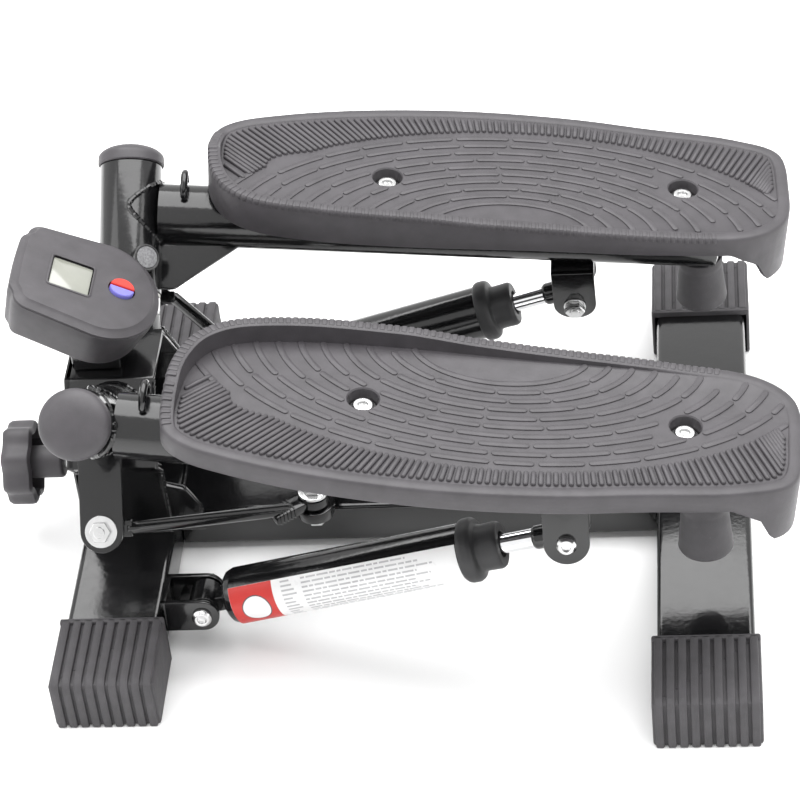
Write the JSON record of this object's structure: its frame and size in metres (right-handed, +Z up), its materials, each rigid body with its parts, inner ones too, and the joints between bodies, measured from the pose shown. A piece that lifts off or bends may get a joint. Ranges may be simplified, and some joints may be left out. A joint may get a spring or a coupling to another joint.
{
  "type": "stepper",
  "caption": "Twist-action mini stepper: pedal arms swing on inclined pivots, linked by a rocker and braked by dampers, on a low frame with a console.",
  "frame": {"origin": "on the floor, below the middle of the bounding box", "axes": "+X from the console towards the heel end, +Y to the right of a user facing the console, +Z up"},
  "size_m": [0.4312, 0.362, 0.1866],
  "materials": {
    "gloss_paint": "gloss black enamel",
    "rubber": "matte dark grey rubber",
    "dark_plastic": "matte grey-black moulding",
    "zinc": "bright zinc plate",
    "chrome": "polished chrome on the piston rod; its black rod end is painted",
    "nylon": "natural nylon",
    "display": "grey-green liquid crystal under a clear pane",
    "board": "green circuit board",
    "red_key": "satin red",
    "blue_key": "satin lavender blue",
    "magnet": "speckled grey disc in a black rim"
  },
  "bodies": {
    "base": {"front_crossbar": "gloss_paint", "rear_crossbar": "gloss_paint", "main_beam": "gloss_paint", "pivot_bracket": "gloss_paint", "left_front_foot_cap": "rubber", "right_front_foot_cap": "rubber", "left_rear_foot_cap": "rubber", "right_rear_foot_cap": "rubber", "left_pivot_spindle": "zinc", "right_pivot_spindle": "zinc", "left_base_clevis": "gloss_paint", "right_base_clevis": "gloss_paint", "left_clevis_bolt": "zinc", "right_clevis_bolt": "zinc", "rocker_pivot_bolt": "zinc", "console_stem": "gloss_paint", "console_housing": "dark_plastic", "console_cover": "dark_plastic", "display_window": "display", "circuit_board": "board"},
    "left_arm": {"left_arm_tube": "gloss_paint", "left_pivot_sleeve": "gloss_paint", "left_pivot_bush": "nylon", "left_sleeve_cap": "dark_plastic", "left_band_hook": "gloss_paint", "left_tie_ear": "gloss_paint", "left_ear_bolt": "zinc", "left_damper_lug": "gloss_paint", "left_lug_bolt": "zinc", "left_pedal": "dark_plastic", "left_pedal_front_bolt": "zinc", "left_pedal_rear_bolt": "zinc", "left_bumper": "rubber"},
    "right_arm": {"right_arm_tube": "gloss_paint", "right_pivot_sleeve": "gloss_paint", "right_pivot_bush": "nylon", "right_sleeve_cap": "dark_plastic", "right_band_hook": "gloss_paint", "right_tie_ear": "gloss_paint", "right_ear_bolt": "zinc", "right_damper_lug": "gloss_paint", "right_lug_bolt": "zinc", "right_pedal": "dark_plastic", "right_pedal_front_bolt": "zinc", "right_pedal_rear_bolt": "zinc", "right_bumper": "rubber", "counter_magnet": "magnet"},
    "rocker": {"rocker_lever": "gloss_paint", "left_rocker_end_bolt": "zinc", "right_rocker_end_bolt": "zinc"},
    "left_tie_rod": {"left_tie_rod": "gloss_paint"},
    "right_tie_rod": {"right_tie_rod": "gloss_paint"},
    "left_damper": {"left_damper_cylinder": "gloss_paint"},
    "right_damper": {"right_damper_cylinder": "gloss_paint"},
    "left_piston": {"left_piston_rod": "chrome"},
    "right_piston": {"right_piston_rod": "chrome"},
    "adjuster_screw": {"adjuster_screw": "zinc"},
    "adjuster_knob": {"adjuster_knob": "dark_plastic"},
    "start_button": {"start_button": "red_key"},
    "reset_button": {"reset_button": "blue_key"}
  },
  "joints": [
    {"name": "left_arm_swing", "type": "hinge", "parent": "base", "child": "left_arm", "pos_m": [-0.14357, -0.0877, 0.1484], "axis": [0, -0.788, 0.6157], "range_deg": [-7.5, 7.5]},
    {"name": "right_arm_swing", "type": "hinge", "parent": "base", "child": "right_arm", "pos_m": [-0.14357, 0.0877, 0.1484], "axis": [0, 0.788, 0.6157], "range_deg": [-7.65, 7.65]},
    {"name": "rocker_turn", "type": "hinge", "parent": "base", "child": "rocker", "pos_m": [-0.04357, 0, 0.0358], "axis": [0, 0, 1], "range_deg": [-13.38, 13.38]},
    {"name": "left_tie_turn", "type": "hinge", "parent": "left_arm", "child": "left_tie_rod", "pos_m": [-0.14357, -0.09583, 0.08115], "axis": [0, -0.788, 0.6157], "range_deg": [-7.65, 7.65]},
    {"name": "right_tie_turn", "type": "hinge", "parent": "right_arm", "child": "right_tie_rod", "pos_m": [-0.14357, 0.09583, 0.08115], "axis": [0, 0.788, 0.6157], "range_deg": [-7.65, 7.65]},
    {"name": "left_damper_turn", "type": "hinge", "parent": "base", "child": "left_damper", "pos_m": [-0.09857, -0.092, 0.025], "axis": [-0.2045, -0.7357, 0.6456], "range_deg": [-8.54, 8.54]},
    {"name": "right_damper_turn", "type": "hinge", "parent": "base", "child": "right_damper", "pos_m": [-0.09857, 0.092, 0.025], "axis": [-0.2045, 0.7357, 0.6456], "range_deg": [-8.54, 8.54]},
    {"name": "left_piston_turn", "type": "hinge", "parent": "left_arm", "child": "left_piston", "pos_m": [0.09593, -0.1007, 0.0767], "axis": [-0.2588, -0.2642, 0.9291], "range_deg": [-1.4, 1.4]},
    {"name": "right_piston_turn", "type": "hinge", "parent": "right_arm", "child": "right_piston", "pos_m": [0.09593, 0.1007, 0.0767], "axis": [-0.2588, 0.2642, 0.9291], "range_deg": [-1.4, 1.4]},
    {"name": "adjuster_slide", "type": "slide", "parent": "base", "child": "adjuster_screw", "axis": [1, 0, 0], "range_m": [-0.0015, 0.003]},
    {"name": "adjuster_turn", "type": "hinge", "parent": "adjuster_screw", "child": "adjuster_knob", "pos_m": [-0.20557, 0, 0.046], "axis": [1, 0, 0], "range_deg": [-358, 718]},
    {"name": "start_press", "type": "slide", "parent": "base", "child": "start_button", "axis": [-0.454, 0, -0.891], "range_m": [0, 0.001], "stiffness_N_per_m": 300},
    {"name": "reset_press", "type": "slide", "parent": "base", "child": "reset_button", "axis": [-0.454, 0, -0.891], "range_m": [0, 0.001], "stiffness_N_per_m": 300}
  ],
  "couplings": [
    {"joint": "right_arm_swing", "follows": "left_arm_swing", "ratio": 1},
    {"joint": "rocker_turn", "follows": "left_arm_swing", "ratio": 1.7644},
    {"joint": "left_tie_turn", "follows": "left_arm_swing", "ratio": -1},
    {"joint": "right_tie_turn", "follows": "left_arm_swing", "ratio": -1},
    {"joint": "left_damper_turn", "follows": "left_arm_swing", "ratio": 1.1186},
    {"joint": "right_damper_turn", "follows": "left_arm_swing", "ratio": 1.1186},
    {"joint": "left_piston_turn", "follows": "left_arm_swing", "ratio": 0.16703},
    {"joint": "right_piston_turn", "follows": "left_arm_swing", "ratio": 0.16703},
    {"joint": "adjuster_slide", "follows": "adjuster_turn", "m_per_rad": 0.00023873}
  ]
}
